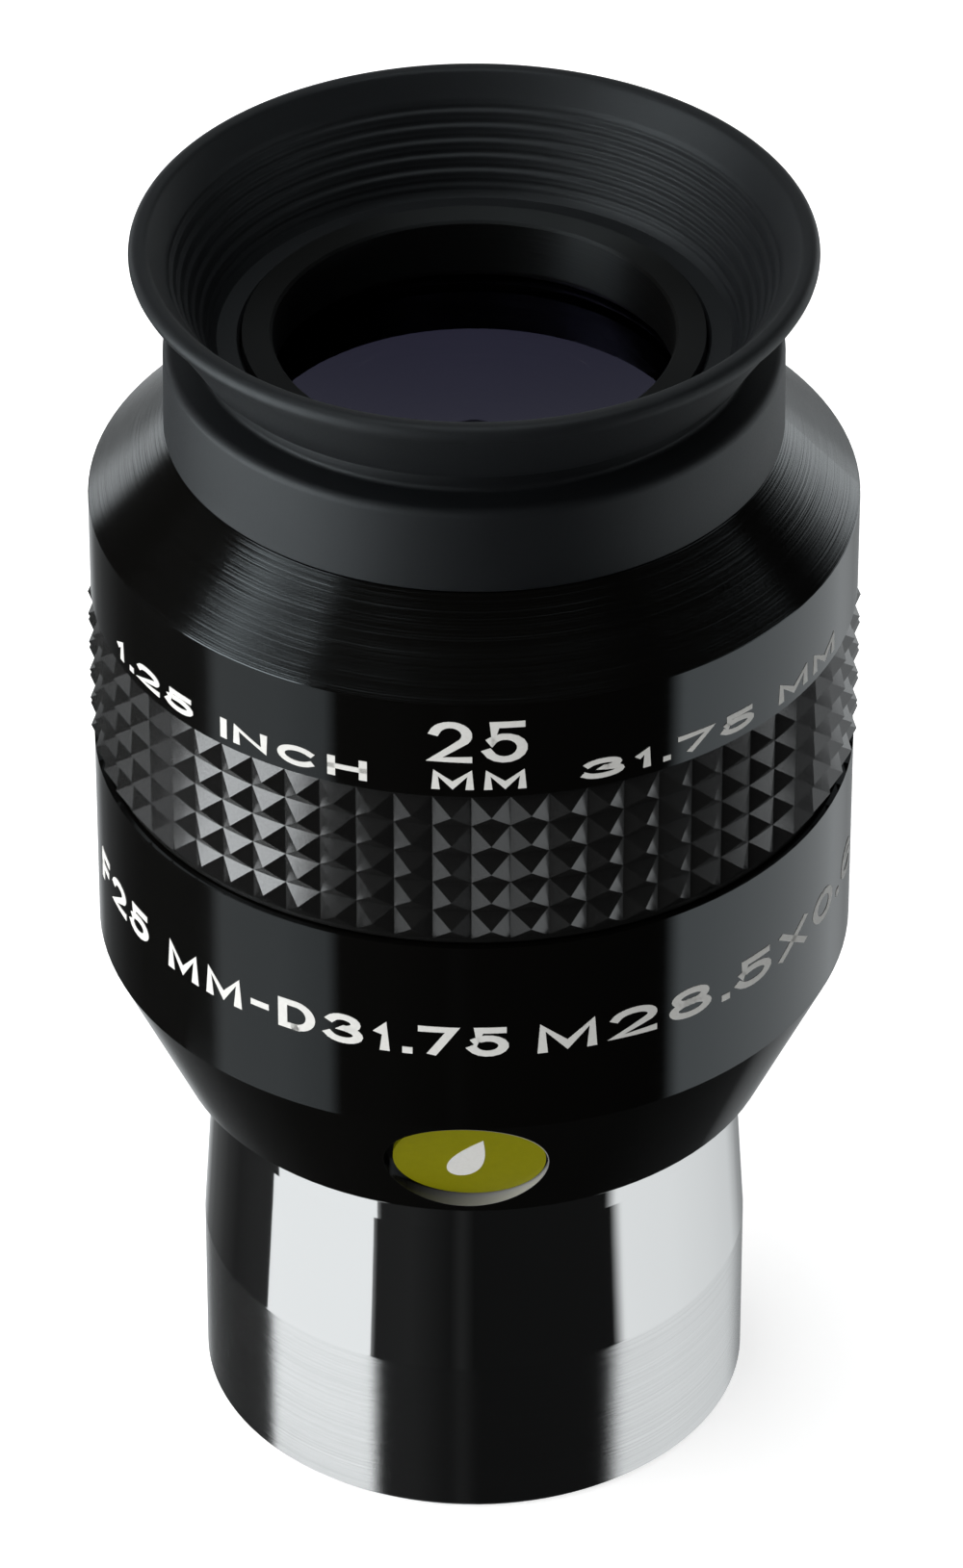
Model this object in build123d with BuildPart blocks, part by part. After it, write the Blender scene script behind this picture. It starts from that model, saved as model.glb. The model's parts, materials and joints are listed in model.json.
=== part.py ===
"""A 25 mm telescope eyepiece with a 1.25 in barrel, as an assembly of separate pieces.

Millimetres. The origin is the centre of the barrel's open end, +Z points along the optical axis
towards the eye, and the gas port faces -Y but for 1.4 degrees. Every turned piece is a half section of (radius, height)
points, revolved about Z.
"""

import os
from math import atan2, cos, degrees, radians, sin, sqrt

from build123d import *

os.makedirs("parts", exist_ok=True)

# ---- fits shared by the whole stack ----
slip = 0.05  # radial gap between a piece and the bore that it sits in
cement = 0.02  # thickness of the cement between the two lenses of a doublet

# ---- nosepiece barrel, the standard 1.25 in (31.75 mm) size ----
barrel_r = 31.75 / 2
barrel_edge = 0.4
skirt_top = 10.5  # top of the full-size skirt
neck_r = 15.27
taper_top = 20.3
shoulder_z = 23.2  # the barrel's shoulder and the housing's underside meet here
shank_r = 14.8
shank_top = 27.4
barrel_bore_r = 13.4
stop_seat_z = 18.0  # inner shoulder that the field stop screws up to
stop_seat_r = 12.4
barrel_groove_z = 24.6
barrel_groove_height = 1.1
barrel_seal_wire = 0.5  # radius of the O-ring's round section

# ---- filter thread in the barrel's mouth, M28.5 x 0.6, cut here as rings instead of a helix ----
thread_pitch = 0.6
thread_turns = 7
thread_crest_r = 13.93
thread_root_r = 14.25
thread_flat = 0.15
thread_start = 0.6
mouth_r = 14.55

# ---- field stop ----
stop_thickness = 2.0
stop_knife_r = 11.3
stop_land = 0.15

# ---- housing ----
underside_r = 17.39
underside_edge = 0.15
band_r = 21.6
lower_cone_top = 32.46
grip_bottom = 45.0
grip_top = 55.3
grip_seat_r = 20.4
upper_band_top = 61.3
collar_r = 17.26
collar_z = 65.8
boss_r = 15.6
boss_top = 69.3
boss_edge = 0.5
boss_groove_r = 15.2
boss_groove_z = (66.8, 67.8)
web_bottom = 28.0
web_top = 29.0  # the lens cell stands on this web
web_r = 12.9
cell_bore_r = 13.9

# ---- rubber grip: rows of four-sided pyramids ----
grip_gap = 0.1  # dark line above and below the grip
grip_rows = 5
grip_columns = 62
grip_row_pitch = 1.92
grip_tip_r = 21.8
grip_valley_r = 21.15
grip_phase = -0.4  # angle of one valley from the front, in degrees

# ---- rubber eyecup ----
sleeve_foot_r = 17.3
sleeve_head_r = 17.25
sleeve_round = 1.3
sleeve_top = 69.8
fold_r = 14.7  # wall at the fold groove
fold_bottom = 70.05
neck_top = 71.3
neck_inner_r = 13.0
flare_edge = (15.52, 71.45)
flare_root_r = 14.2
flare_floor = (14.5, 71.5)
flare_inner = (16.9, 75.9)
lip_split_r = 17.6
lip_gap = 0.04
lip_under = (18.7, 76.5)
lip_outer = (19.03, 76.75)
lip_height = 77.5
lip_round = (18.86, 77.28)
lip_crown = (18.45, lip_height)
lip_inner = (18.0, lip_height)

# ---- eye lens retainer ----
retainer_face_z = 71.65
retainer_flange_r = 12.85
retainer_bore_r = 11.18
retainer_chamfer = 0.15
retainer_foot_z = 68.48

# ---- lens stack: the sign of a radius is + where the surface bulges towards the eye ----
lens_r = 12.45
lens_bore_r = 12.5
eye_apex = 66.0
outer_radius = 42.0  # both outer surfaces are hollow
cement_radius = 32.0
inner_radius = 26.0
middle_radius = 40.0
flint_middle = 1.8  # thickness of a flint on the axis
crown_rim = 1.2
air_gap = 1.0
middle_rim = 1.2
spacer_r = 11.4
seal_circle_r = 11.9
seal_wire = 0.35
seal_clearance = 0.03
field_retainer_bore_r = 11.2
field_retainer_height = 2.4
slot_width = 1.6
slot_depth = 1.0

# ---- lens cell ----
cell_r = cell_bore_r - slip
cell_groove_z = 29.4
cell_groove_height = 0.9
cell_groove_r = 13.0
cell_seal_wire = 0.4
channel_r = 13.45  # relieved outside that lets the gas reach the vents
channel_z = (30.5, 62.0)
vent_r = 0.6

# ---- gas port in the lower cone ----
port_z = 28.1
port_turn = radians(-1.4)  # from -Y towards +X
pocket_r = 4.65
pocket_depth = 1.02
badge_r = 4.32
badge_thickness = 0.3
badge_shift = 0.2  # the label is stuck slightly off the pocket's centre
plug_head_r = 3.2
plug_head_height = 0.95
plug_bore_r = 3.25
plug_bore_depth = 2.8
plug_shank_r = 1.5
plug_shank_length = 2.7
plug_hex_r = 1.1
plug_hex_depth = 0.6
port_thread_depth = 5.3
gas_hole_depth = 7.0
purge_seal_circle_r = 2.0
purge_seal_wire = 0.24


def sag(radius, r):
    """Height lost by a spherical surface between its apex and the distance r from the axis."""
    return radius - sqrt(radius**2 - r**2)


def surface_z(apex, radius, r):
    """Height of a lens surface at the distance r from the axis."""
    return apex - sag(radius, r) if radius > 0 else apex + sag(-radius, r)


def turned(*outline):
    """A piece made on a lathe: the closed (radius, height) outline revolved about Z."""
    with BuildPart() as piece:
        with BuildSketch(Plane.XZ):
            with BuildLine():
                Polyline(*outline, close=True)
            make_face()
        revolve(axis=Axis.Z)
    return piece


def lens(top_apex, top_radius, bottom_apex, bottom_radius):
    """A lens between two spherical surfaces, ground to the stack's radius."""
    top = [(r, surface_z(top_apex, top_radius, r)) for r in (0, lens_r / 2, lens_r)]
    bottom = [(r, surface_z(bottom_apex, bottom_radius, r)) for r in (lens_r, lens_r / 2, 0)]
    with BuildPart() as glass:
        with BuildSketch(Plane.XZ):
            with BuildLine():
                ThreePointArc(*top)
                Line(top[-1], bottom[0])
                ThreePointArc(*bottom)
                Line(bottom[-1], top[0])
            make_face()
        revolve(axis=Axis.Z)
    return glass


def o_ring(circle_r, wire_r, place):
    """A round-section sealing ring about the normal of the plane `place`."""
    with BuildPart() as ring:
        with Locations(place):
            Torus(circle_r, wire_r)
    return ring


def spacer(top_z, bottom_z):
    """A thin tube that keeps two lenses apart, with a vent hole in its front wall."""
    with BuildPart() as tube:
        with BuildSketch(Plane.XY.offset(bottom_z)):
            Circle(lens_r)
            Circle(spacer_r, mode=Mode.SUBTRACT)
        extrude(amount=top_z - bottom_z)
        with BuildSketch(Plane.XZ):
            with Locations((0, (top_z + bottom_z) / 2)):
                Circle(vent_r)
        extrude(amount=lens_r, mode=Mode.SUBTRACT)
    return tube


# ---- heights of the lens stack, from the eye down ----
eye_rim = surface_z(eye_apex, -outer_radius, lens_r)
eye_cement = eye_apex - flint_middle
crown_rim_bottom = surface_z(eye_cement, cement_radius, lens_r) - crown_rim
eye_crown_bottom = crown_rim_bottom - sag(inner_radius, lens_r)
middle_top = eye_crown_bottom - air_gap
middle_bottom = middle_top - 2 * sag(middle_radius, lens_r) - middle_rim
field_top = middle_bottom - air_gap
field_cement = field_top - sag(inner_radius, lens_r) - crown_rim - sag(cement_radius, lens_r)
field_apex = field_cement - flint_middle
field_seal_z = surface_z(field_apex, outer_radius, seal_circle_r) - seal_wire - seal_clearance
field_retainer_top = field_seal_z - seal_wire - seal_clearance
eye_seal_z = surface_z(eye_apex, -outer_radius, seal_circle_r) + seal_wire + seal_clearance

# ---- plane of the gas port: on the lower cone, square to its surface ----
cone_rise = lower_cone_top - shoulder_z
cone_run = band_r - underside_r
port_r = underside_r + cone_run * (port_z - shoulder_z) / cone_rise
port_tilt = degrees(atan2(cone_run, cone_rise))
port_level = cos(radians(port_tilt))
port_normal = (port_level * sin(port_turn), -port_level * cos(port_turn), -sin(radians(port_tilt)))
port_plane = Plane(
    origin=(port_r * sin(port_turn), -port_r * cos(port_turn), port_z),
    x_dir=(cos(port_turn), sin(port_turn), 0),
    z_dir=port_normal,
)

# ---- nosepiece_barrel ----
thread_outline = []
for turn in range(thread_turns):
    crest_z = thread_start + turn * thread_pitch
    thread_outline.append((thread_crest_r, crest_z))
    thread_outline.append((thread_crest_r, crest_z + thread_flat))
    thread_outline.append((thread_root_r, crest_z + (thread_flat + thread_pitch) / 2))
thread_end = thread_start + thread_turns * thread_pitch
thread_outline.append((thread_crest_r, thread_end))
thread_outline.append((thread_crest_r, thread_end + thread_flat))

barrel_groove_r = shank_r - 2 * barrel_seal_wire - slip
with BuildPart() as nosepiece_barrel:
    with BuildSketch(Plane.XZ):
        with BuildLine():
            Polyline(
                (mouth_r, 0),
                *thread_outline,
                (barrel_bore_r, thread_end + 2 * thread_flat),
                (barrel_bore_r, stop_seat_z),
                (stop_seat_r, stop_seat_z),
                (stop_seat_r, shank_top),
                (shank_r, shank_top),
                (shank_r, shoulder_z),
                (neck_r, shoulder_z),
                (neck_r, taper_top),
                (barrel_r, skirt_top),
                (barrel_r, 0),
                close=True,
            )
        make_face()
        with Locations((barrel_groove_r, barrel_groove_z)):
            Rectangle(shank_r, barrel_groove_height, align=Align.MIN, mode=Mode.SUBTRACT)
    revolve(axis=Axis.Z)
    rim_edge = edges().filter_by(GeomType.CIRCLE).group_by(Axis.Z)[0].sort_by(SortBy.RADIUS)[-1]
    shank_edge = edges().filter_by(GeomType.CIRCLE).group_by(Axis.Z)[-1].sort_by(SortBy.RADIUS)[-1]
    chamfer([rim_edge, shank_edge], barrel_edge)

barrel_seal_z = barrel_groove_z + barrel_groove_height / 2
barrel_seal_place = Plane.XY.offset(barrel_seal_z)
barrel_o_ring = o_ring(shank_r - barrel_seal_wire, barrel_seal_wire, barrel_seal_place)

# ---- field_stop_ring: the knife edge faces the eye, and two slots take a spanner ----
with BuildPart() as field_stop_ring:
    with BuildSketch(Plane.XZ):
        with BuildLine():
            Polyline(
                (barrel_bore_r - slip, stop_seat_z),
                (stop_knife_r, stop_seat_z),
                (stop_knife_r, stop_seat_z - stop_land),
                (stop_seat_r, stop_seat_z - stop_thickness),
                (barrel_bore_r - slip, stop_seat_z - stop_thickness),
                close=True,
            )
        make_face()
    revolve(axis=Axis.Z)
    with BuildSketch(Plane.XY.offset(stop_seat_z - stop_thickness)):
        Rectangle(2 * barrel_r, slot_width)
    extrude(amount=slot_depth / 2, mode=Mode.SUBTRACT)

# ---- main_housing ----
with BuildPart() as main_housing:
    with BuildSketch(Plane.XZ):
        with BuildLine():
            Polyline(
                (shank_r + slip, shoulder_z),
                (underside_r - underside_edge, shoulder_z),
                (underside_r, shoulder_z + underside_edge),
                (band_r, lower_cone_top),
                (band_r, grip_bottom),
                (grip_seat_r, grip_bottom),
                (grip_seat_r, grip_top),
                (band_r, grip_top),
                (band_r, upper_band_top),
                (collar_r, collar_z),
                (boss_r, collar_z),
                (boss_r, boss_groove_z[0]),
                (boss_groove_r, boss_groove_z[0]),
                (boss_groove_r, boss_groove_z[1]),
                (boss_r, boss_groove_z[1]),
                (boss_r, boss_top - boss_edge),
                (boss_r - boss_edge, boss_top),
                (cell_bore_r, boss_top),
                (cell_bore_r, web_top),
                (web_r, web_top),
                (web_r, web_bottom),
                (shank_r + slip, web_bottom),
                close=True,
            )
        make_face()
    revolve(axis=Axis.Z)
    with Locations(port_plane):
        CounterBoreHole(plug_bore_r, pocket_r, pocket_depth, plug_bore_depth)
        CounterBoreHole(vent_r, plug_shank_r + slip, port_thread_depth, gas_hole_depth)

# ---- grip_ring: a toothed outline all round meets a star-shaped prism, which leaves pyramids ----
ring_bottom = grip_bottom + grip_gap
ring_top = grip_top - grip_gap
first_row = (grip_bottom + grip_top - grip_rows * grip_row_pitch) / 2
tooth_outline = [(grip_valley_r, first_row)]
for row in range(grip_rows):
    row_bottom = first_row + row * grip_row_pitch
    tooth_outline.append((grip_tip_r, row_bottom + grip_row_pitch / 2))
    tooth_outline.append((grip_valley_r, row_bottom + grip_row_pitch))

star_outline = []
for half_column in range(2 * grip_columns):
    corner_r = grip_tip_r if half_column % 2 else grip_valley_r
    corner_angle = radians(grip_phase - 90 + half_column * 180 / grip_columns)
    star_outline.append((corner_r * cos(corner_angle), corner_r * sin(corner_angle)))

with BuildPart() as grip_ring:
    with BuildSketch(Plane.XY.offset(ring_bottom)):
        with BuildLine():
            Polyline(*star_outline, close=True)
        make_face()
        Circle(grip_seat_r + slip, mode=Mode.SUBTRACT)
    extrude(amount=ring_top - ring_bottom)
    with BuildSketch(Plane.XZ):
        with BuildLine():
            Polyline(
                (0, ring_bottom),
                (grip_valley_r, ring_bottom),
                *tooth_outline,
                (grip_valley_r, ring_top),
                (0, ring_top),
                close=True,
            )
        make_face()
    revolve(axis=Axis.Z, mode=Mode.INTERSECT)

# ---- eyecup_sleeve: thick sleeve, soft shoulder and the thin neck that carries the flare ----
shoulder_r = sleeve_head_r - sleeve_round
shoulder_middle = (
    shoulder_r + sleeve_round * sin(radians(45)),
    sleeve_top - sleeve_round * (1 - cos(radians(45))),
)
with BuildPart() as eyecup_sleeve:
    with BuildSketch(Plane.XZ):
        with BuildLine():
            Line((boss_r + slip, collar_z), (sleeve_foot_r, collar_z))
            Line((sleeve_foot_r, collar_z), (sleeve_head_r, sleeve_top - sleeve_round))
            ThreePointArc(
                (sleeve_head_r, sleeve_top - sleeve_round),
                shoulder_middle,
                (shoulder_r, sleeve_top),
            )
            Polyline(
                (shoulder_r, sleeve_top),
                (fold_r, fold_bottom),
                (fold_r, neck_top),
                (neck_inner_r, neck_top),
                (neck_inner_r, boss_top),
                (boss_r + slip, boss_top),
                (boss_r + slip, boss_groove_z[1] - slip),
                (boss_groove_r + slip, boss_groove_z[1] - slip),
                (boss_groove_r + slip, boss_groove_z[0] + slip),
                (boss_r + slip, boss_groove_z[0] + slip),
                (boss_r + slip, collar_z),
            )
        make_face()
    revolve(axis=Axis.Z)


def along(start, end, r):
    """Height at the radius r on the straight line from start to end, both (radius, height)."""
    return start[1] + (r - start[0]) * (end[1] - start[1]) / (end[0] - start[0])


# ---- eyecup_flare: the thin wall that rolls down when the cup is folded ----
flare_r = lip_split_r - lip_gap
eyecup_flare = turned(
    (flare_root_r, neck_top),
    (fold_r, neck_top),
    flare_edge,
    (flare_r, along(flare_edge, lip_under, flare_r)),
    (flare_r, along(flare_inner, lip_inner, flare_r)),
    flare_inner,
    flare_floor,
)

# ---- eyecup_lip: the bead at the rim ----
with BuildPart() as eyecup_lip:
    with BuildSketch(Plane.XZ):
        with BuildLine():
            Polyline(
                lip_inner,
                (lip_split_r, along(flare_inner, lip_inner, lip_split_r)),
                (lip_split_r, along(flare_edge, lip_under, lip_split_r)),
                lip_under,
                lip_outer,
            )
            ThreePointArc(lip_outer, lip_round, lip_crown)
            Line(lip_crown, lip_inner)
        make_face()
    revolve(axis=Axis.Z)

# ---- lens_cell: the tube that holds the stack, relieved outside so that gas reaches the vents ----
upper_spacer_top = surface_z(eye_crown_bottom, -inner_radius, spacer_r)
upper_spacer_bottom = surface_z(middle_top, middle_radius, spacer_r)
lower_spacer_top = surface_z(middle_bottom, -middle_radius, spacer_r)
lower_spacer_bottom = surface_z(field_top, inner_radius, spacer_r)
with BuildPart() as lens_cell:
    with BuildSketch(Plane.XZ):
        with BuildLine():
            Polyline(
                (lens_bore_r, web_top),
                (cell_r, web_top),
                (cell_r, cell_groove_z),
                (cell_groove_r, cell_groove_z),
                (cell_groove_r, cell_groove_z + cell_groove_height),
                (cell_r, cell_groove_z + cell_groove_height),
                (cell_r, channel_z[0]),
                (channel_r, channel_z[0]),
                (channel_r, channel_z[1]),
                (cell_r, channel_z[1]),
                (cell_r, boss_top),
                (lens_bore_r, boss_top),
                close=True,
            )
        make_face()
    revolve(axis=Axis.Z)
    with BuildSketch(Plane.XZ):
        with Locations(
            (0, (upper_spacer_top + upper_spacer_bottom) / 2),
            (0, (lower_spacer_top + lower_spacer_bottom) / 2),
        ):
            Circle(vent_r)
    extrude(amount=cell_r, mode=Mode.SUBTRACT)

cell_seal_z = cell_groove_z + cell_groove_height / 2
cell_seal_place = Plane.XY.offset(cell_seal_z)
cell_o_ring = o_ring(cell_groove_r + cell_seal_wire + slip / 2, cell_seal_wire, cell_seal_place)

# ---- eye_lens_retainer: its foot screws into the cell and presses on the seal ----
eye_lens_retainer = turned(
    (retainer_bore_r, retainer_foot_z),
    (lens_r, retainer_foot_z),
    (lens_r, boss_top),
    (retainer_flange_r, boss_top),
    (retainer_flange_r, retainer_face_z),
    (retainer_bore_r + retainer_chamfer, retainer_face_z),
    (retainer_bore_r, retainer_face_z - retainer_chamfer),
)

# ---- lenses, spacers and seals, from the eye down ----
eye_lens_o_ring = o_ring(seal_circle_r, seal_wire, Plane.XY.offset(eye_seal_z))
eye_lens_flint = lens(eye_apex, -outer_radius, eye_cement, cement_radius)
eye_lens_crown = lens(eye_cement - cement, cement_radius, eye_crown_bottom, -inner_radius)
upper_spacer = spacer(upper_spacer_top, upper_spacer_bottom)
middle_lens = lens(middle_top, middle_radius, middle_bottom, -middle_radius)
lower_spacer = spacer(lower_spacer_top, lower_spacer_bottom)
field_lens_crown = lens(field_top, inner_radius, field_cement, -cement_radius)
field_lens_flint = lens(field_cement - cement, -cement_radius, field_apex, outer_radius)
field_lens_o_ring = o_ring(seal_circle_r, seal_wire, Plane.XY.offset(field_seal_z))

# ---- field_lens_retainer: screwed up from below, with two spanner slots ----
with BuildPart() as field_lens_retainer:
    with BuildSketch(Plane.XY.offset(field_retainer_top - field_retainer_height)):
        Circle(lens_r)
        Circle(field_retainer_bore_r, mode=Mode.SUBTRACT)
    extrude(amount=field_retainer_height)
    with BuildSketch(Plane.XY.offset(field_retainer_top - field_retainer_height)):
        Rectangle(2 * lens_r, slot_width)
    extrude(amount=slot_depth, mode=Mode.SUBTRACT)

# ---- purge_plug: a socket screw in the gas port, under the badge ----
plug_seat_depth = plug_bore_depth - 2 * purge_seal_wire
with BuildPart() as purge_plug:
    with BuildSketch(port_plane.offset(-plug_seat_depth)):
        Circle(plug_head_r)
    extrude(amount=plug_head_height)
    with BuildSketch(port_plane.offset(-plug_seat_depth)):
        Circle(plug_shank_r)
    extrude(amount=-plug_shank_length)
    with BuildSketch(port_plane.offset(plug_head_height - plug_seat_depth)):
        RegularPolygon(radius=plug_hex_r, side_count=6)
    extrude(amount=-plug_hex_depth, mode=Mode.SUBTRACT)

purge_seal_depth = plug_bore_depth - purge_seal_wire
purge_o_ring = o_ring(purge_seal_circle_r, purge_seal_wire, port_plane.offset(-purge_seal_depth))

# ---- purge_badge: the round label on the pocket's floor ----
with BuildPart() as purge_badge:
    with BuildSketch(port_plane.offset(-pocket_depth)):
        with Locations((badge_shift, 0)):
            Circle(badge_r)
    extrude(amount=badge_thickness)

# ---- label and write every piece ----
pieces = {
    "nosepiece_barrel": nosepiece_barrel,
    "barrel_o_ring": barrel_o_ring,
    "field_stop_ring": field_stop_ring,
    "main_housing": main_housing,
    "grip_ring": grip_ring,
    "eyecup_sleeve": eyecup_sleeve,
    "eyecup_flare": eyecup_flare,
    "eyecup_lip": eyecup_lip,
    "lens_cell": lens_cell,
    "cell_o_ring": cell_o_ring,
    "eye_lens_retainer": eye_lens_retainer,
    "eye_lens_o_ring": eye_lens_o_ring,
    "eye_lens_flint": eye_lens_flint,
    "eye_lens_crown": eye_lens_crown,
    "upper_spacer": upper_spacer,
    "middle_lens": middle_lens,
    "lower_spacer": lower_spacer,
    "field_lens_crown": field_lens_crown,
    "field_lens_flint": field_lens_flint,
    "field_lens_o_ring": field_lens_o_ring,
    "field_lens_retainer": field_lens_retainer,
    "purge_plug": purge_plug,
    "purge_o_ring": purge_o_ring,
    "purge_badge": purge_badge,
}
for name, piece in pieces.items():
    piece.part.label = name
    export_step(piece.part, f"parts/{name}.step")
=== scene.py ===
"""Looks of the telescope eyepiece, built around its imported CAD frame. Metres, +Z towards the eye."""

import json
import math

import bmesh
import bpy
import numpy as np
from mathutils import Matrix, Vector


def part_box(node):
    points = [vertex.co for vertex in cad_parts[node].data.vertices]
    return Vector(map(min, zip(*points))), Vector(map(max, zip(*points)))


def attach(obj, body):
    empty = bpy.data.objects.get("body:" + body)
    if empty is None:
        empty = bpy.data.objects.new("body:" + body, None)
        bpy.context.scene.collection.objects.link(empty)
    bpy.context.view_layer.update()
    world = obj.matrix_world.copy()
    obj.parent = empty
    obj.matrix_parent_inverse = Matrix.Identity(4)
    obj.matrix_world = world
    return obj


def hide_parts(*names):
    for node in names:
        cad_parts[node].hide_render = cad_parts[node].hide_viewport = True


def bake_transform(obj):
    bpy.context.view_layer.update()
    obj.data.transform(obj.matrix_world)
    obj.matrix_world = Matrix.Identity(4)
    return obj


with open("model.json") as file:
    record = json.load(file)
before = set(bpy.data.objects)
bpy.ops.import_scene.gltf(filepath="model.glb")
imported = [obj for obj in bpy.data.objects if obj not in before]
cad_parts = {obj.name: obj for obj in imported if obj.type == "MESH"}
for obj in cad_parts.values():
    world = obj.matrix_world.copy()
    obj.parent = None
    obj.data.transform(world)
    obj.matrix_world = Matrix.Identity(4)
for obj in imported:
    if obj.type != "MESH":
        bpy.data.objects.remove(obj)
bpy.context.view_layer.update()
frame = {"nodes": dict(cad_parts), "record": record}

MM = 0.001


# ---------------------------------------------------------------- measures taken from the frame
def node_points(node):
    """The CAD node's vertices, one per row."""
    return np.array([v.co for v in frame["nodes"][node].data.vertices])


def ring_levels(node, radius, tolerance=0.02 * MM):
    """Heights at which the CAD node has vertices at that distance from the axis, lowest first."""
    heights = [z for x, y, z in node_points(node) if abs(math.hypot(x, y) - radius) < tolerance]
    return sorted(set(round(float(z), 6) for z in heights))


def centre_of(node):
    """Mean of the node's vertices."""
    return Vector(node_points(node).mean(0))


def face_normal(node):
    """Unit normal of a flat disc node, pointing away from the object's axis."""
    directions = np.linalg.eigh(np.cov(node_points(node).T)).eigenvectors
    normal = Vector(directions[:, 0])  # the direction in which the points spread least
    centre = centre_of(node)
    outward = Vector((centre.x, centre.y, 0))
    return normal if normal.dot(outward) > 0 else -normal


band_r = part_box("main_housing")[1].x
band_levels = ring_levels("main_housing", band_r)
lower_ridge_z = band_levels[0]
upper_ridge_z = band_levels[-1]
grip_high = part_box("grip_ring")[1].z
barrel_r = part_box("nosepiece_barrel")[1].x
skirt_top = ring_levels("nosepiece_barrel", barrel_r)[-1]
sleeve_low, sleeve_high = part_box("eyecup_sleeve")
lip_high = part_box("eyecup_lip")[1]
pocket_r = 4.65 * MM  # counterbore that holds the badge
housing_bore_r = 13.0 * MM  # walls of the housing inside this radius are matt
barrel_inside_r = 14.6 * MM  # surfaces of the barrel inside this radius are blackened


# ---------------------------------------------------------------- camera
def make_camera():
    """Looks down at the eyepiece from the front, through a long lens."""
    data = bpy.data.cameras.new("camera")
    data.sensor_width = 36.0
    data.lens = 216.8
    data.shift_x = 0.0047
    data.clip_start = 0.02
    data.clip_end = 20.0
    camera = bpy.data.objects.new("camera", data)
    bpy.context.scene.collection.objects.link(camera)
    camera.location = (0.0, -0.43916, 0.35565)
    target = Vector((0.0, 0.0, 0.0407))
    camera.rotation_euler = (target - camera.location).to_track_quat("-Z", "Y").to_euler()
    bpy.context.scene.camera = camera


# ---------------------------------------------------------------- node helpers
def add_node(tree, kind, sockets=None, **settings):
    """A shader node with its settings and its unlinked or linked sockets."""
    node = tree.nodes.new(kind)
    for name, value in settings.items():
        setattr(node, name, value)
    for name, value in (sockets or {}).items():
        if isinstance(value, bpy.types.NodeSocket):
            tree.links.new(value, node.inputs[name])
        else:
            node.inputs[name].default_value = value
    return node


def new_material(name, **sockets):
    """A Principled material. Returns it with its tree and its shader node."""
    material = bpy.data.materials.new(name)
    material.use_nodes = True
    tree = material.node_tree
    tree.nodes.clear()
    shader = add_node(tree, "ShaderNodeBsdfPrincipled", sockets)
    output = add_node(tree, "ShaderNodeOutputMaterial")
    tree.links.new(shader.outputs[0], output.inputs["Surface"])
    return material, tree, shader


def object_coords(tree):
    """The object coordinates, as one socket."""
    return add_node(tree, "ShaderNodeTexCoord").outputs["Object"]


def math_node(tree, operation, a, b=0.0):
    """The result of a maths operation."""
    return add_node(tree, "ShaderNodeMath", {0: a, 1: b}, operation=operation).outputs[0]


def vector_node(tree, operation, a, b):
    """A vector operation's outputs: the vector, then the value."""
    return add_node(tree, "ShaderNodeVectorMath", {0: a, 1: b}, operation=operation).outputs


def noise(tree, scale, detail=3.0, stretch=(1.0, 1.0, 1.0)):
    """Noise in object space, stretched per axis. The scale is in cycles per metre."""
    mapping = add_node(tree, "ShaderNodeMapping", {"Vector": object_coords(tree), "Scale": stretch})
    sockets = {"Vector": mapping.outputs[0], "Scale": scale, "Detail": detail}
    return add_node(tree, "ShaderNodeTexNoise", sockets).outputs[0]


def ramp_node(tree, factor, stops):
    """Colour by a factor from 0 to 1, through (position, colour) stops."""
    ramp = add_node(tree, "ShaderNodeValToRGB", {0: factor})
    marks = ramp.color_ramp.elements
    while len(marks) < len(stops):
        marks.new(0.5)
    for mark, (position, colour) in zip(marks, stops):
        mark.position = position
        mark.color = colour
    return ramp.outputs[0]


def spread(tree, value, low, high, new_low, new_high):
    """Maps a value from one range to another, clamped."""
    sockets = {0: value, 1: low, 2: high, 3: new_low, 4: new_high}
    return add_node(tree, "ShaderNodeMapRange", sockets).outputs[0]


def bump(tree, shader, height_socket, distance):
    """Relief on the shader's surface. The distance is its depth in metres where the height is 1."""
    sockets = {"Height": height_socket, "Distance": distance, "Strength": 1.0}
    node = add_node(tree, "ShaderNodeBump", sockets)
    tree.links.new(node.outputs[0], shader.inputs["Normal"])


def axis_split(tree):
    """The three object coordinates, as sockets."""
    return add_node(tree, "ShaderNodeSeparateXYZ", {0: object_coords(tree)}).outputs


def distance_from_axis(tree):
    """Distance from the optical axis."""
    x, y, _ = axis_split(tree)
    squares = [math_node(tree, "MULTIPLY", side, side) for side in (x, y)]
    return math_node(tree, "SQRT", math_node(tree, "ADD", *squares))


def turned_grain(tree, shader):
    """Turning marks run round the axis, so highlights stretch across them."""
    quarter_turn = 0.25
    tangent = add_node(tree, "ShaderNodeTangent", direction_type="RADIAL", axis="Z")
    tree.links.new(tangent.outputs[0], shader.inputs["Tangent"])
    shader.inputs["Anisotropic Rotation"].default_value = quarter_turn


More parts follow.
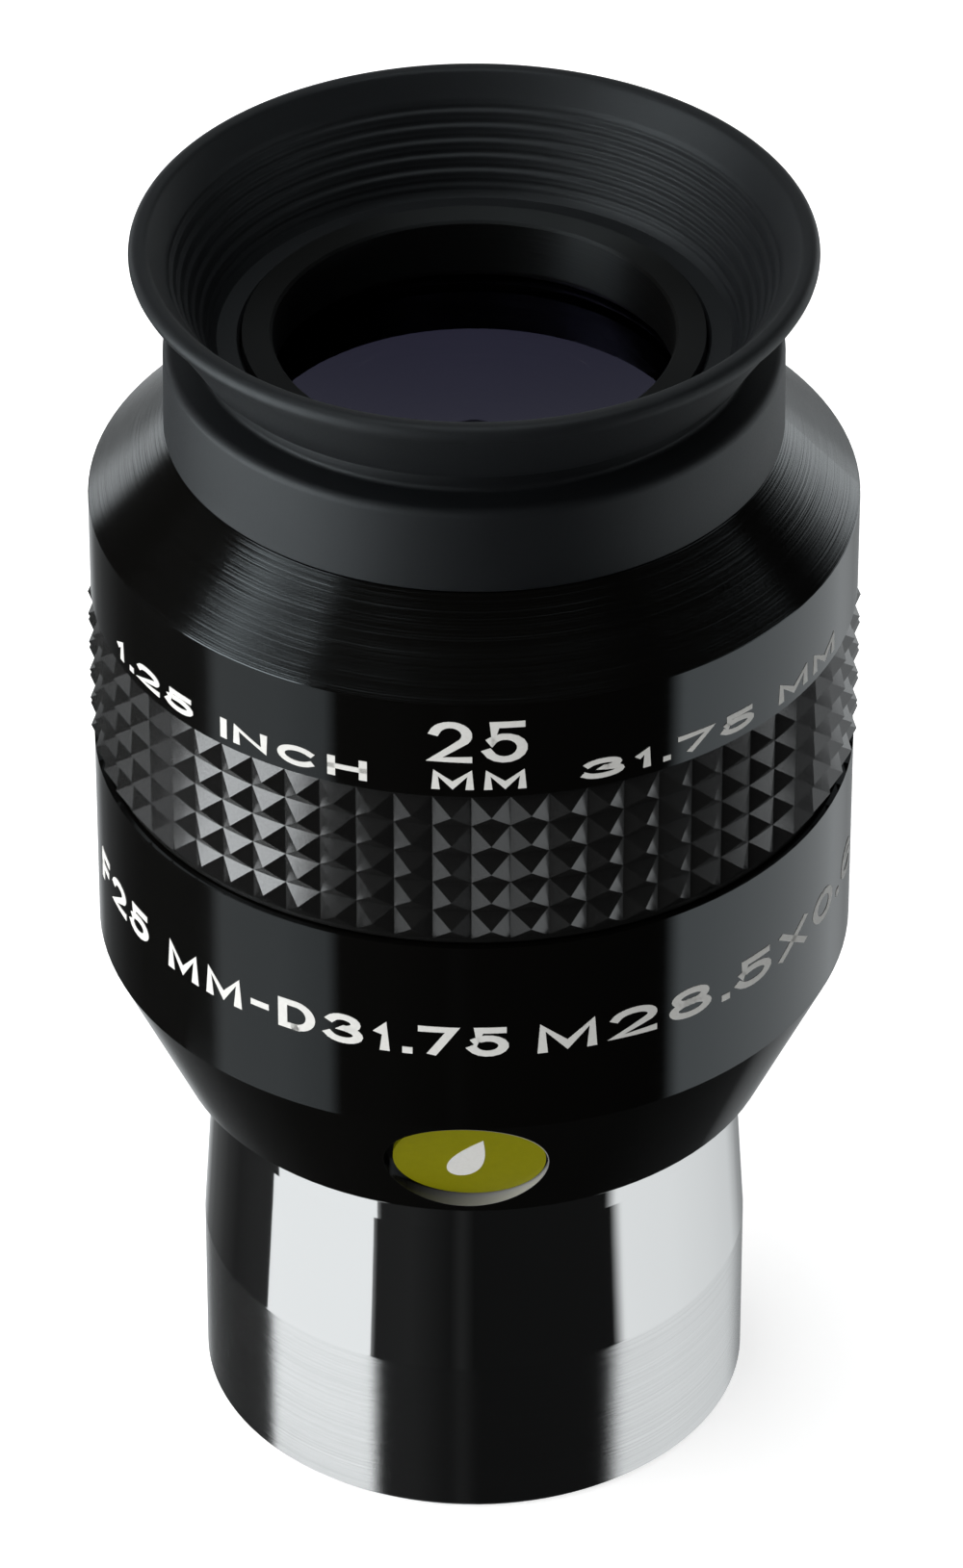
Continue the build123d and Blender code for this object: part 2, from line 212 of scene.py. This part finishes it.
# ---------------------------------------------------------------- materials
def in_pocket(tree):
    """0 off the wall of the badge's pocket, and on the wall rising to 1 towards +X: painted shade on the
    wall's left side and painted light on its right.
    """
    badge = centre_of("purge_badge")
    normal = face_normal("purge_badge")
    plug = centre_of("purge_plug")
    offset = vector_node(tree, "SUBTRACT", object_coords(tree), plug)[0]
    across = vector_node(tree, "CROSS_PRODUCT", offset, normal)[0]
    distance = add_node(tree, "ShaderNodeVectorMath", {0: across}, operation="LENGTH").outputs["Value"]
    rise = vector_node(tree, "DOT_PRODUCT", offset, normal)["Value"]
    floor_level = (badge - plug).dot(normal)
    above = spread(tree, rise, floor_level - 0.1 * MM, floor_level, 0, 1)
    within = spread(tree, distance, pocket_r + 0.01 * MM, pocket_r + 0.03 * MM, 1, 0)
    sideways = add_node(tree, "ShaderNodeSeparateXYZ", {0: offset}).outputs["X"]
    # Painted light and shade: the pocket wall goes from nearly black on its left side to bare grey on its
    # right.
    painted_light_across = spread(tree, sideways, -0.7 * pocket_r, 0.7 * pocket_r, 0.05, 1)
    return math_node(tree, "MULTIPLY", math_node(tree, "MULTIPLY", above, within), painted_light_across)


def anodised_black():
    """Black anodised aluminium: glossy bands, an upper cone with turning marks and a bare grey pocket wall,
    with painted shade darkening it towards its left side and painted light on its right.
    """
    looks = {"IOR": 1.5, "Specular Tint": (0.87, 0.96, 1.0, 1), "Anisotropic": 0.9}
    material, tree, shader = new_material("anodised_black", **looks)
    turned_grain(tree, shader)
    z = axis_split(tree)[2]
    on_cone = spread(tree, z, upper_ridge_z, upper_ridge_z + 0.05 * MM, 0.0, 1.0)
    marks = noise(tree, 1.0, 4.0, (18, 18, 11000))
    cone_rough = math_node(tree, "MULTIPLY", on_cone, 0.10)
    rough = math_node(tree, "ADD", cone_rough, spread(tree, marks, 0.3, 0.7, 0.06, 0.10))
    in_bore = spread(tree, distance_from_axis(tree), housing_bore_r - 0.05 * MM, housing_bore_r, 0.35, 0.0)
    tree.links.new(math_node(tree, "ADD", rough, in_bore), shader.inputs["Roughness"])
    black, bare = (0.0021, 0.0019, 0.0016, 1), (0.42, 0.42, 0.41, 1)
    # The pocket wall's bare grey carries painted shade on its left side and painted light on its right.
    metal = ramp_node(tree, in_pocket(tree), [(0, black), (1, bare)])
    tree.links.new(metal, shader.inputs["Base Color"])
    mark_depth = math_node(tree, "ADD", math_node(tree, "MULTIPLY", on_cone, 0.9), 0.03)
    bump(tree, shader, math_node(tree, "MULTIPLY", marks, mark_depth), 0.03 * MM)
    return material


def chromed():
    """Chromed barrel: brushed skirt, polished taper, blackened inside."""
    material, tree, shader = new_material("chromed", **{"Metallic": 1.0, "Anisotropic": 0.75})
    turned_grain(tree, shader)
    z = axis_split(tree)[2]
    on_skirt = spread(tree, z, skirt_top - 0.1 * MM, skirt_top + 0.1 * MM, 1.0, 0.0)
    marks = noise(tree, 1.0, 4.0, (45, 45, 16000))
    rough = math_node(tree, "ADD", math_node(tree, "MULTIPLY", on_skirt, 0.08), 0.05)
    tree.links.new(rough, shader.inputs["Roughness"])
    mark_depth = math_node(tree, "ADD", math_node(tree, "MULTIPLY", on_skirt, 0.95), 0.02)
    bump(tree, shader, math_node(tree, "MULTIPLY", marks, mark_depth), 0.006 * MM)
    shade = math_node(tree, "MULTIPLY", on_skirt, spread(tree, marks, 0.3, 0.7, 0.0, 0.10))
    tint = math_node(tree, "SUBTRACT", 1.0, shade)
    chrome = {0: (0.655, 0.650, 0.645), "Scale": tint}
    metal = add_node(tree, "ShaderNodeVectorMath", chrome, operation="SCALE")
    tree.links.new(metal.outputs[0], shader.inputs["Base Color"])
    inside = spread(tree, distance_from_axis(tree), barrel_inside_r, barrel_inside_r + 0.3 * MM, 1.0, 0.0)
    blacking = {"Base Color": (0.006, 0.006, 0.006, 1), "Roughness": 0.6}
    paint = add_node(tree, "ShaderNodeBsdfPrincipled", blacking)
    both = add_node(tree, "ShaderNodeMixShader", {0: inside, 1: shader.outputs[0], 2: paint.outputs[0]})
    output = next(n for n in tree.nodes if n.type == "OUTPUT_MATERIAL")
    tree.links.new(both.outputs[0], output.inputs["Surface"])
    return material


def grip_rubber():
    """Moulded grip band: fairly glossy facets with a faint grain."""
    looks = {"Base Color": (0.008, 0.008, 0.0078, 1), "IOR": 1.65}
    material, tree, shader = new_material("grip_rubber", **looks)
    grain = noise(tree, 9000, 2.0)
    tree.links.new(spread(tree, grain, 0.3, 0.7, 0.20, 0.25), shader.inputs["Roughness"])
    bump(tree, shader, grain, 0.0015 * MM)
    return material


def eyecup_rubber():
    """Soft matt rubber with a fine grain and faint cloudiness."""
    looks = {"IOR": 1.5, "Specular Tint": (0.90, 0.97, 1.0, 1)}
    material, tree, shader = new_material("eyecup_rubber", **looks)
    dark, pale = (0.0030, 0.0032, 0.0036, 1), (0.0048, 0.0052, 0.0060, 1)
    cloud = ramp_node(tree, noise(tree, 260, 3.0), [(0, dark), (1, pale)])
    tree.links.new(cloud, shader.inputs["Base Color"])
    grain = noise(tree, 14000, 2.0)
    tree.links.new(spread(tree, grain, 0.3, 0.7, 0.50, 0.58), shader.inputs["Roughness"])
    bump(tree, shader, grain, 0.006 * MM)
    return material


def seal_rubber():
    """Black O-ring rubber, a little greasy."""
    material, tree, shader = new_material("seal_rubber", **{"Base Color": (0.006, 0.006, 0.006, 1)})
    tree.links.new(spread(tree, noise(tree, 6000), 0.3, 0.7, 0.35, 0.5), shader.inputs["Roughness"])
    return material


def coated_glass():
    """Lens glass with a violet anti-reflection coating."""
    looks = {
        "Base Color": (0.30, 0.27, 0.30, 1),
        "IOR": 1.9,
        "Transmission Weight": 1.0,
        "Specular IOR Level": 1.0,
        "Specular Tint": (0.56, 0.52, 1.0, 1),
    }
    material, tree, shader = new_material("coated_glass", **looks)
    tree.links.new(spread(tree, noise(tree, 900), 0.3, 0.7, 0.0, 0.02), shader.inputs["Roughness"])
    return material


def plug_steel():
    """Plain satin steel."""
    looks = {"Base Color": (0.55, 0.55, 0.56, 1), "Metallic": 1.0}
    material, tree, shader = new_material("plug_steel", **looks)
    tree.links.new(spread(tree, noise(tree, 3000), 0.3, 0.7, 0.2, 0.35), shader.inputs["Roughness"])
    return material


def badge_film():
    """Olive printed film, nearly matt."""
    material, tree, shader = new_material("badge_film", **{"IOR": 1.4, "Specular IOR Level": 0.15})
    dark, pale = (0.205, 0.195, 0.0010, 1), (0.235, 0.225, 0.0018, 1)
    olive = ramp_node(tree, noise(tree, 1500, 2.0), [(0, dark), (1, pale)])
    tree.links.new(olive, shader.inputs["Base Color"])
    tree.links.new(spread(tree, noise(tree, 7000), 0.3, 0.7, 0.38, 0.5), shader.inputs["Roughness"])
    return material


def white_ink():
    """Pad-printed white ink, very slightly uneven."""
    material, tree, shader = new_material("white_ink", **{"IOR": 1.45})
    dark, pale = (0.72, 0.72, 0.69, 1), (0.84, 0.84, 0.81, 1)
    ink = ramp_node(tree, noise(tree, 5000, 3.0), [(0, dark), (1, pale)])
    tree.links.new(ink, shader.inputs["Base Color"])
    tree.links.new(spread(tree, noise(tree, 9000), 0.3, 0.7, 0.4, 0.55), shader.inputs["Roughness"])
    return material


# ---------------------------------------------------------------- stage: floor, light, what metal mirrors
# Brightness of the studio as the glossy surfaces mirror it: (azimuth in degrees, radiance). Azimuth 0 is the
# object's front, and its right-hand side is positive. Each ring is a belt of the sky at one height.
RING_FOOT = [(-180, 0.25), (-150, 0.10), (-138, 0.04), (-120, 0.01), (110, 0.01), (138, 0.03), (180, 0.08)]
RING_BELOW = [
    (-180, 0.62), (-172, 0.62), (-164, 0.42), (-156, 0.16), (-146, 0.09), (-132, 0.04), (-120, 0.02),
    (-92, 0.03), (-87, 0.06), (-82, 0.62), (-60, 0.74), (-45, 0.62), (-41, 0.02), (-26, 0.022),
    (-10, 0.010), (-5, 0.022), (0, 0.008), (59.5, 0.009), (65, 1.08), (92, 1.04), (116, 0.94),
    (140, 0.80), (156, 0.38), (166, 0.28), (180, 0.48),
]
RING_LEVEL = [
    (-180, 0.8), (-150, 0.8), (-143, 2.0), (-137, 2.0), (-132, 0.05), (-92, 0.05), (-87, 1.8), (-74, 1.8),
    (-50, 0.2), (-35, 0.005), (66, 0.005), (110, 0.05), (130, 2.0), (144, 2.0), (152, 0.8), (180, 0.8),
]
RING_ABOVE = [
    (-180, 0.28), (-160, 0.26), (-145, 0.01), (-88, 0.01), (-84, 2.0), (-79, 2.0), (-72, 0.25),
    (-58, 0.03), (-40, 0.003), (145, 0.003), (160, 0.26), (180, 0.28),
]
RING_TOP = [
    (-180, 1.0), (-135, 1.0), (-105, 4.5), (-65, 4.5), (-40, 0.2),
    (50, 0.2), (75, 2.5), (110, 2.5), (135, 1.0),
]
RING_ZENITH = [(-180, 2.0), (180, 2.0)]
# Each ring takes over from the one before it between two elevations, in degrees. RING_BELOW comes first.
TAKE_OVERS = [
    (RING_LEVEL, -9, -3),
    (RING_ABOVE, 11, 17),
    (RING_TOP, 68, 78),
    (RING_ZENITH, 80, 88),
    (RING_FOOT, -40.5, -51.5),
]
RING_FULL = 5.0  # radiance of a ramp's full white
COOL = (0.96, 1.0, 1.02)
SURROUND_R = 0.9
CARD_R = 0.75
# Light on matt surfaces: (place, radiance), the place from the far left (-1) to the far right (1).
WORLD = [(-1, 1.65), (-0.3, 1.65), (0.06, 0.06), (0.7, 0.06), (1, 0.7)]
WORLD_FULL = 1.65  # radiance of the ramp's full white


def see_only(obj, *rays):
    """Only these kinds of ray see the object."""
    for kind in ("camera", "diffuse", "glossy", "transmission", "volume_scatter", "shadow"):
        setattr(obj, f"visible_{kind}", kind in rays)


def link(obj):
    """Puts the object in the scene and returns it."""
    bpy.context.scene.collection.objects.link(obj)
    return obj


def ring_light(tree, turn, ring):
    """Brightness by azimuth, from a ramp. The turn runs from 0 to 1 over the full circle."""
    stops = []
    for azimuth, radiance in ring:
        colour = tuple(radiance / RING_FULL * tint for tint in COOL) + (1,)
        stops.append(((azimuth + 180) / 360, colour))
    return ramp_node(tree, turn, stops)


def mix(tree, factor, a, b):
    """Colour a where the factor is 0 and colour b where it is 1."""
    node = add_node(tree, "ShaderNodeMix", data_type="RGBA")
    for name, value in (("Factor", factor), ("A", a), ("B", b)):
        socket = next(i for i in node.inputs if i.name == name and i.enabled)
        tree.links.new(value, socket)
    return next(o for o in node.outputs if o.enabled)


def glow(name, strength):
    """An emitter that lights nothing but reflections, with its tree and its emission node."""
    material = bpy.data.materials.new(name)
    material.use_nodes = True
    tree = material.node_tree
    tree.nodes.clear()
    light = add_node(tree, "ShaderNodeEmission", {"Color": COOL + (1,), "Strength": strength})
    output = add_node(tree, "ShaderNodeOutputMaterial")
    tree.links.new(light.outputs[0], output.inputs["Surface"])
    material.cycles.emission_sampling = "NONE"
    return material, tree, light


def make_surround():
    """A large sphere that only reflections see. Its light goes by azimuth, ring by ring."""
    bpy.ops.mesh.primitive_uv_sphere_add(segments=64, ring_count=32, radius=SURROUND_R)
    surround = bpy.context.object
    surround.name = "surround"
    material, tree, emission = glow("surround", RING_FULL)
    x, y, z = axis_split(tree)
    back_y = math_node(tree, "MULTIPLY", y, -1.0)
    turn = spread(tree, math_node(tree, "ARCTAN2", x, back_y), -math.pi, math.pi, 0.0, 1.0)
    rise = math_node(tree, "DIVIDE", z, SURROUND_R)
    elevation = math_node(tree, "DEGREES", math_node(tree, "ARCSINE", rise))
    light = ring_light(tree, turn, RING_BELOW)
    for ring, start, end in TAKE_OVERS:
        share = spread(tree, elevation, start, end, 0, 1)
        light = mix(tree, share, light, ring_light(tree, turn, ring))
    tree.links.new(light, emission.inputs["Color"])
    surround.data.materials.append(material)
    see_only(surround, "glossy")


def reflection_card(name, azimuths, heights, radius, strength, rise=0.0):
    """A curved card that shows only in reflections. Its top edge may rise from its start to its end."""
    steps = 24
    corners = []
    for step in range(steps + 1):
        angle = math.radians(azimuths[0] + (azimuths[1] - azimuths[0]) * step / steps)
        x, y = radius * math.sin(angle), -radius * math.cos(angle)
        corners += [(x, y, heights[0]), (x, y, heights[1] + rise * step / steps)]
    faces = [(2 * i, 2 * i + 2, 2 * i + 3, 2 * i + 1) for i in range(steps)]
    mesh = bpy.data.meshes.new(name)
    mesh.from_pydata(corners, [], faces)
    mesh.materials.append(glow(name, strength)[0])
    card = link(bpy.data.objects.new(name, mesh))
    see_only(card, "glossy")


def make_stage():
    """White floor, light on matt surfaces mostly from the left, and what the glossy surfaces mirror."""
    bpy.ops.mesh.primitive_circle_add(vertices=96, radius=3.0, fill_type="NGON")
    floor = bpy.context.object
    floor.name = "floor"
    material, tree, shader = new_material("floor", **{"Roughness": 0.9, "Specular IOR Level": 0.0})
    shader.inputs["Base Color"].default_value = (0.9, 0.9, 0.9, 1)
    shader.inputs["Emission Color"].default_value = (1, 1, 1, 1)
    shader.inputs["Emission Strength"].default_value = 0.7
    floor.data.materials.append(material)
    see_only(floor, "camera")

    world = bpy.data.worlds.new("studio")
    bpy.context.scene.world = world
    world.use_nodes = True
    tree = world.node_tree
    background = tree.nodes["Background"]
    direction = add_node(tree, "ShaderNodeTexCoord").outputs["Generated"]
    sideways = add_node(tree, "ShaderNodeSeparateXYZ", {0: direction}).outputs[0]
    stops = [((place + 1) / 2, (radiance / WORLD_FULL,) * 3 + (1,)) for place, radiance in WORLD]
    across = ramp_node(tree, spread(tree, sideways, -1, 1, 0, 1), stops)
    tree.links.new(across, background.inputs["Color"])
    background.inputs["Strength"].default_value = WORLD_FULL
    world.cycles_visibility.glossy = False
    world.cycles_visibility.transmission = False

    make_surround()
    reflection_card("card_foot", (-85, -37.8), (-0.045, -0.003), radius=0.06, strength=1.2)
    reflection_card("card_left", (-110, -42), (-0.27, -0.02), CARD_R, strength=5.6)
    reflection_card("card_key", (-86, -50), (0.17, 0.33), CARD_R, strength=8.0, rise=0.17)
    reflection_card("card_right", (76, 108), (-0.14, 0.0), CARD_R, strength=0.9)
    reflection_card("card_fill", (54, 98), (0.15, 0.27), CARD_R, strength=1.9)


# ---------------------------------------------------------------- mesh helpers
def arc(centre, radius, start, end, steps):
    """Points on an arc in the (radius, height) plane, angles in degrees from the +radius direction."""
    angles = [math.radians(start + (end - start) * i / steps) for i in range(steps + 1)]
    return [(centre[0] + radius * math.cos(a), centre[1] + radius * math.sin(a)) for a in angles]


def turned_mesh(name, outline, segments, material, sharp=35):
    """A closed (radius, height) outline in metres, revolved about Z."""
    count = len(outline)
    vertices = []
    for turn in range(segments):
        angle = 2 * math.pi * turn / segments
        vertices += [(r * math.cos(angle), r * math.sin(angle), z) for r, z in outline]
    faces = []
    for turn in range(segments):
        here, there = turn * count, (turn + 1) % segments * count
        for i in range(count):
            after = (i + 1) % count
            faces.append((here + i, there + i, there + after, here + after))
    mesh = bpy.data.meshes.new(name)
    mesh.from_pydata(vertices, [], faces)
    work = bmesh.new()
    work.from_mesh(mesh)
    bmesh.ops.recalc_face_normals(work, faces=work.faces)
    work.to_mesh(mesh)
    work.free()
    mesh.polygons.foreach_set("use_smooth", [True] * len(mesh.polygons))
    mesh.set_sharp_from_angle(angle=math.radians(sharp))
    mesh.materials.append(material)
    return link(bpy.data.objects.new(name, mesh))


# ---------------------------------------------------------------- eyecup
def eyecup_outline():
    """Half section of the rubber moulding: sleeve, soft shoulder, fold groove, ribbed flare and bead."""
    foot_r, foot_z = sleeve_high.x, sleeve_low.z
    neck_top = sleeve_high.z
    lip_r, lip_z = lip_high.x, lip_high.z
    seat_r = 15.65 * MM
    seat_top = neck_top - 2.0 * MM
    opening_r = 13.0 * MM
    edge = 0.15 * MM
    shoulder_r = foot_r - 0.05 * MM
    shoulder_z = neck_top - 0.2 * MM
    shoulder_round = 0.55 * MM
    groove_r = 15.3 * MM
    groove_z = shoulder_z + 0.05 * MM
    groove_round = 0.3 * MM
    crease = (16.2 * MM, neck_top + 1.4 * MM)
    crease_round = 0.1 * MM
    under = (18.7 * MM, lip_z - 1.0 * MM)
    flare_bow = 0.03 * MM
    bead_start = (18.9 * MM, lip_z - 0.93 * MM)
    bead_round = 0.55 * MM
    inner_round = 0.45 * MM
    inner_round_r = lip_r - 0.75 * MM
    flare_top = (lip_r - 1.93 * MM, lip_z - 1.25 * MM)
    flare_foot = (14.6 * MM, neck_top + 0.3 * MM)
    floor_r = 14.25 * MM

    outline = [(seat_r, foot_z), (foot_r - edge, foot_z), (foot_r, foot_z + edge)]
    outline += arc((shoulder_r - shoulder_round, shoulder_z - shoulder_round), shoulder_round, 0, 84, 10)
    outline += arc((groove_r + groove_round, groove_z + groove_round), groove_round, -90, -180, 5)
    outline += arc((groove_r + groove_round, crease[1] - 1.5 * groove_round), groove_round, 180, 100, 5)
    outline += arc((crease[0] - crease_round, crease[1]), crease_round, -80, -30, 4)
    steps = 24
    for i in range(1, steps):
        share = i / steps
        r = crease[0] + (under[0] - crease[0]) * share
        z = crease[1] + (under[1] - crease[1]) * share
        outline.append((r, z + flare_bow * math.sin(math.pi * share)))
    outline += [under, bead_start]
    outline += arc((lip_r - bead_round, lip_z - bead_round), bead_round, -20, 90, 10)
    outline += arc((inner_round_r, lip_z - inner_round), inner_round, 100, 150, 4)
    outline += ribbed_wall(flare_top, flare_foot)
    outline += [(floor_r, neck_top), (opening_r + edge, neck_top), (opening_r, neck_top - edge)]
    outline += [(opening_r, seat_top), (seat_r, seat_top)]
    return outline


def ribbed_wall(top, bottom):
    """The flare's inner wall from its smooth top to its foot: soft ribs with a fine line between."""
    ribs = 6.25
    steps = 110
    depth = 0.05 * MM
    phase = 0.9
    fine_line = 0.35
    lift = 0.9  # keeps the ribs clear of the flare's outside
    slope = (Vector(top) - Vector(bottom)).normalized()
    inward = Vector((-slope.y, slope.x))
    points = []
    for i in range(steps + 1):
        share = i / steps
        turn = 2 * math.pi * ribs * share
        fade = min(1.0, 8 * share, 8 * (1 - share))
        rise = depth * fade * (math.cos(turn - phase) + fine_line * math.cos(2 * turn) + lift)
        spot = Vector(top).lerp(Vector(bottom), share) + inward * rise
        points.append((spot.x, spot.y))
    return points


def make_eyecup(material):
    """One moulding in place of the three CAD nodes."""
    cup = turned_mesh("eyecup_moulding", eyecup_outline(), 288, material)
    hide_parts("eyecup_sleeve", "eyecup_flare", "eyecup_lip")
    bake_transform(cup)


# ---------------------------------------------------------------- printed markings
def bow(centre, radii, start, end, steps=14):
    """Points on an elliptical arc of a glyph, angles in degrees."""
    angles = [math.radians(start + (end - start) * i / steps) for i in range(steps + 1)]
    return [(centre[0] + radii[0] * math.cos(a), centre[1] + radii[1] * math.sin(a)) for a in angles]


# A plain wide alphabet drawn with a pen: each glyph is its width, then its strokes in a unit box.
GLYPHS = {
    "0": (1.0, [bow((0.5, 0.5), (0.5, 0.5), 90, 450, 28)]),
    "1": (0.45, [[(0.1, 0.72), (0.8, 1.0), (0.8, 0.0)]]),
    "2": (1.0, [bow((0.5, 0.7), (0.5, 0.3), 165, -35) + [(0.0, 0.0), (1.0, 0.0)]]),
    "3": (1.0, [bow((0.46, 0.75), (0.46, 0.25), 160, -90) + bow((0.46, 0.26), (0.54, 0.26), 85, -160)]),
    "5": (1.0, [[(0.92, 1.0), (0.14, 1.0), (0.06, 0.5)] + bow((0.46, 0.33), (0.54, 0.33), 140, -160)]),
    "6": (1.0, [bow((0.52, 0.5), (0.52, 0.5), 50, 185), bow((0.5, 0.31), (0.5, 0.31), 180, 540, 28)]),
    "7": (1.0, [[(0.0, 1.0), (1.0, 1.0), (0.35, 0.0)]]),
    "8": (1.0, [bow((0.5, 0.76), (0.43, 0.24), -90, 270, 28), bow((0.5, 0.27), (0.5, 0.27), 90, 450, 28)]),
    "C": (1.05, [bow((0.52, 0.5), (0.52, 0.5), 42, 318, 22)]),
    "D": (
        1.05,
        [[(0.45, 0.0), (0.0, 0.0), (0.0, 1.0), (0.45, 1.0)] + bow((0.45, 0.5), (0.55, 0.5), 85, -90)],
    ),
    "F": (0.85, [[(1.0, 1.0), (0.0, 1.0), (0.0, 0.0)], [(0.0, 0.5), (0.85, 0.5)]]),
    "H": (1.0, [[(0.0, 1.0), (0.0, 0.0)], [(1.0, 1.0), (1.0, 0.0)], [(0.0, 0.5), (1.0, 0.5)]]),
    "I": (0.12, [[(0.5, 0.0), (0.5, 1.0)]]),
    "M": (1.2, [[(0.0, 0.0), (0.0, 1.0), (0.5, 0.12), (1.0, 1.0), (1.0, 0.0)]]),
    "N": (1.0, [[(0.0, 0.0), (0.0, 1.0), (1.0, 0.0), (1.0, 1.0)]]),
    "X": (1.0, [[(0.0, 0.0), (1.0, 1.0)], [(0.0, 1.0), (1.0, 0.0)]]),
    "-": (0.55, [[(0.0, 0.45), (1.0, 0.45)]]),
    ".": (0.12, [[(0.5, 0.0), (0.5, 0.02)]]),
    " ": (0.35, []),
}
GLYPH_GAP = 0.28
MITRE_LIMIT = 1.7
PEN_STRETCH = 1.45  # upright strokes are this much wider than level ones
INK_THICKNESS = 0.03 * MM
INK_SUNK = 0.005 * MM  # how far the ink starts inside the band
STRIP = 0.35 * MM  # width of the strips that the wrapped ink is cut into


def ribbon(work, points, pen, top):
    """A flat pen stroke along the points. Corners are mitred and nothing passes the line's foot and top."""
    sides = []
    for i, point in enumerate(points):
        here = Vector(point)
        back = (here - Vector(points[i - 1])).normalized() if i else None
        ahead = (Vector(points[i + 1]) - here).normalized() if i + 1 < len(points) else None
        one = back or ahead
        two = ahead or back
        normal = Vector((-one.y - two.y, one.x + two.x)).normalized()
        reach = pen / 2 * min(MITRE_LIMIT, 1 / max(0.1, normal.dot(Vector((-one.y, one.x)))))
        tip = 0.0 if back and ahead else pen / 2
        square = (one * tip if back else -two * tip) if tip else Vector((0, 0))
        for sign in (1, -1):
            spot = here + square + normal * reach * sign
            sides.append(work.verts.new((spot.x, min(max(spot.y, 0.0), top), 0)))
    for i in range(len(points) - 1):
        work.faces.new((sides[2 * i], sides[2 * i + 1], sides[2 * i + 3], sides[2 * i + 2]))


def write_text(text, size, pen):
    """Flat strokes of a line of text, centred on x = 0, width and height as given."""
    work = bmesh.new()
    length = size[0] / PEN_STRETCH
    em = length / (sum(GLYPHS[c][0] + GLYPH_GAP for c in text) - GLYPH_GAP)
    x = -length / 2
    for letter in text:
        share, strokes = GLYPHS[letter]
        width = max(share * em, pen)
        for stroke in strokes:
            points = [(x + pen / 2 + u * (width - pen), pen / 2 + v * (size[1] - pen)) for u, v in stroke]
            ribbon(work, points, pen, size[1])
        x += (share + GLYPH_GAP) * em
    bmesh.ops.scale(work, vec=(PEN_STRETCH, 1, 1), verts=work.verts)
    return work


def slice_upright(work, spacing):
    """Cuts a flat mesh into upright strips, so that it can bend."""
    reach = max(abs(v.co.x) for v in work.verts)
    for i in range(int(-reach / spacing), int(reach / spacing) + 1):
        geometry = work.verts[:] + work.edges[:] + work.faces[:]
        bmesh.ops.bisect_plane(work, geom=geometry, plane_co=(i * spacing, 0, 0), plane_no=(1, 0, 0))


def thicken(work, thickness):
    """Gives a flat film in the z = 0 plane its thickness."""
    made = bmesh.ops.extrude_face_region(work, geom=work.faces[:])
    for item in made["geom"]:
        if isinstance(item, bmesh.types.BMVert):
            item.co.z += thickness
    bmesh.ops.recalc_face_normals(work, faces=work.faces)


def print_on_band(name, text, size, azimuth, z, pen, material):
    """Ink wrapped round the housing. The azimuth of its middle is in degrees from the front."""
    work = write_text(text, size, pen)
    slice_upright(work, STRIP)
    thicken(work, INK_THICKNESS)
    for v in work.verts:
        angle = math.radians(azimuth) + v.co.x / band_r
        r = band_r - INK_SUNK + v.co.z
        v.co = Vector((r * math.sin(angle), -r * math.cos(angle), z + v.co.y))
    mesh = bpy.data.meshes.new(name)
    work.to_mesh(mesh)
    work.free()
    mesh.materials.append(material)
    piece = link(bpy.data.objects.new(name, mesh))
    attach(piece, "root")


def make_markings(material):
    """Size markings in numbers and units only."""
    small, tall, focal = 1.3 * MM, 2.0 * MM, 2.7 * MM
    fine, bold = 0.32 * MM, 0.40 * MM
    upper = grip_high + 0.6 * MM
    lower = lower_ridge_z + 5.1 * MM
    print_on_band("print_focal", "25", (5.4 * MM, focal), 0.6, upper + 1.8 * MM, bold, material)
    print_on_band("print_unit", "MM", (5.2 * MM, small), 0.7, upper, fine, material)
    print_on_band("print_inch", "1.25 INCH", (19.1 * MM, small), -41.0, upper, fine, material)
    print_on_band("print_diameter", "31.75 MM", (19.5 * MM, small), 41.9, upper, fine, material)
    print_on_band("print_lens", "F25 MM-D31.75", (31.4 * MM, tall), -36.5, lower, bold, material)
    print_on_band("print_thread", "M28.5X0.6", (27.6 * MM, tall), 46.0, lower, bold, material)


def make_badge_mark(material):
    """A plain droplet on the badge."""
    centre = centre_of("purge_badge")
    normal = face_normal("purge_badge")
    across = Vector((1, 0, 0))
    up = normal.cross(across).normalized()
    if up.z < 0:
        up = -up
    turn = math.radians(-20)
    half_width, half_height = 1.3 * MM, 2.2 * MM
    taper = 1.2
    badge_top = 0.149 * MM  # just under half of the badge's thickness, so the ink bites into it
    steps = 40
    points = []
    for i in range(steps):
        a = 2 * math.pi * i / steps
        x = half_width * math.sin(a) * math.sin(a / 2) ** taper
        y = half_height * math.cos(a)
        points.append((x * math.cos(turn) - y * math.sin(turn), x * math.sin(turn) + y * math.cos(turn), 0))
    mesh = bpy.data.meshes.new("badge_drop")
    mesh.from_pydata(points, [], [tuple(range(steps))])
    work = bmesh.new()
    work.from_mesh(mesh)
    thicken(work, INK_THICKNESS)
    work.to_mesh(mesh)
    work.free()
    face = centre + normal * badge_top
    mesh.transform(Matrix.Translation(face) @ Matrix((across, up, normal)).transposed().to_4x4())
    mesh.materials.append(material)
    piece = link(bpy.data.objects.new("badge_drop", mesh))
    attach(piece, "root")


# ---------------------------------------------------------------- put together
def paint_nodes(materials):
    """Each CAD node takes the material of its slot in the record."""
    for part in frame["record"]["subparts"]:
        obj = frame["nodes"][part["node"]]
        obj.data.materials.clear()
        obj.data.materials.append(materials[part["material_slot"]])


make_camera()
make_stage()
materials = {
    "chromed_brass": chromed(),
    "anodised_black": anodised_black(),
    "grip_rubber": grip_rubber(),
    "eyecup_rubber": eyecup_rubber(),
    "seal_rubber": seal_rubber(),
    "coated_glass": coated_glass(),
    "plug_steel": plug_steel(),
    "badge_film": badge_film(),
}
paint_nodes(materials)
ink = white_ink()
make_eyecup(materials["eyecup_rubber"])
make_markings(ink)
make_badge_mark(ink)
bpy.context.scene.view_settings.view_transform = "Standard"
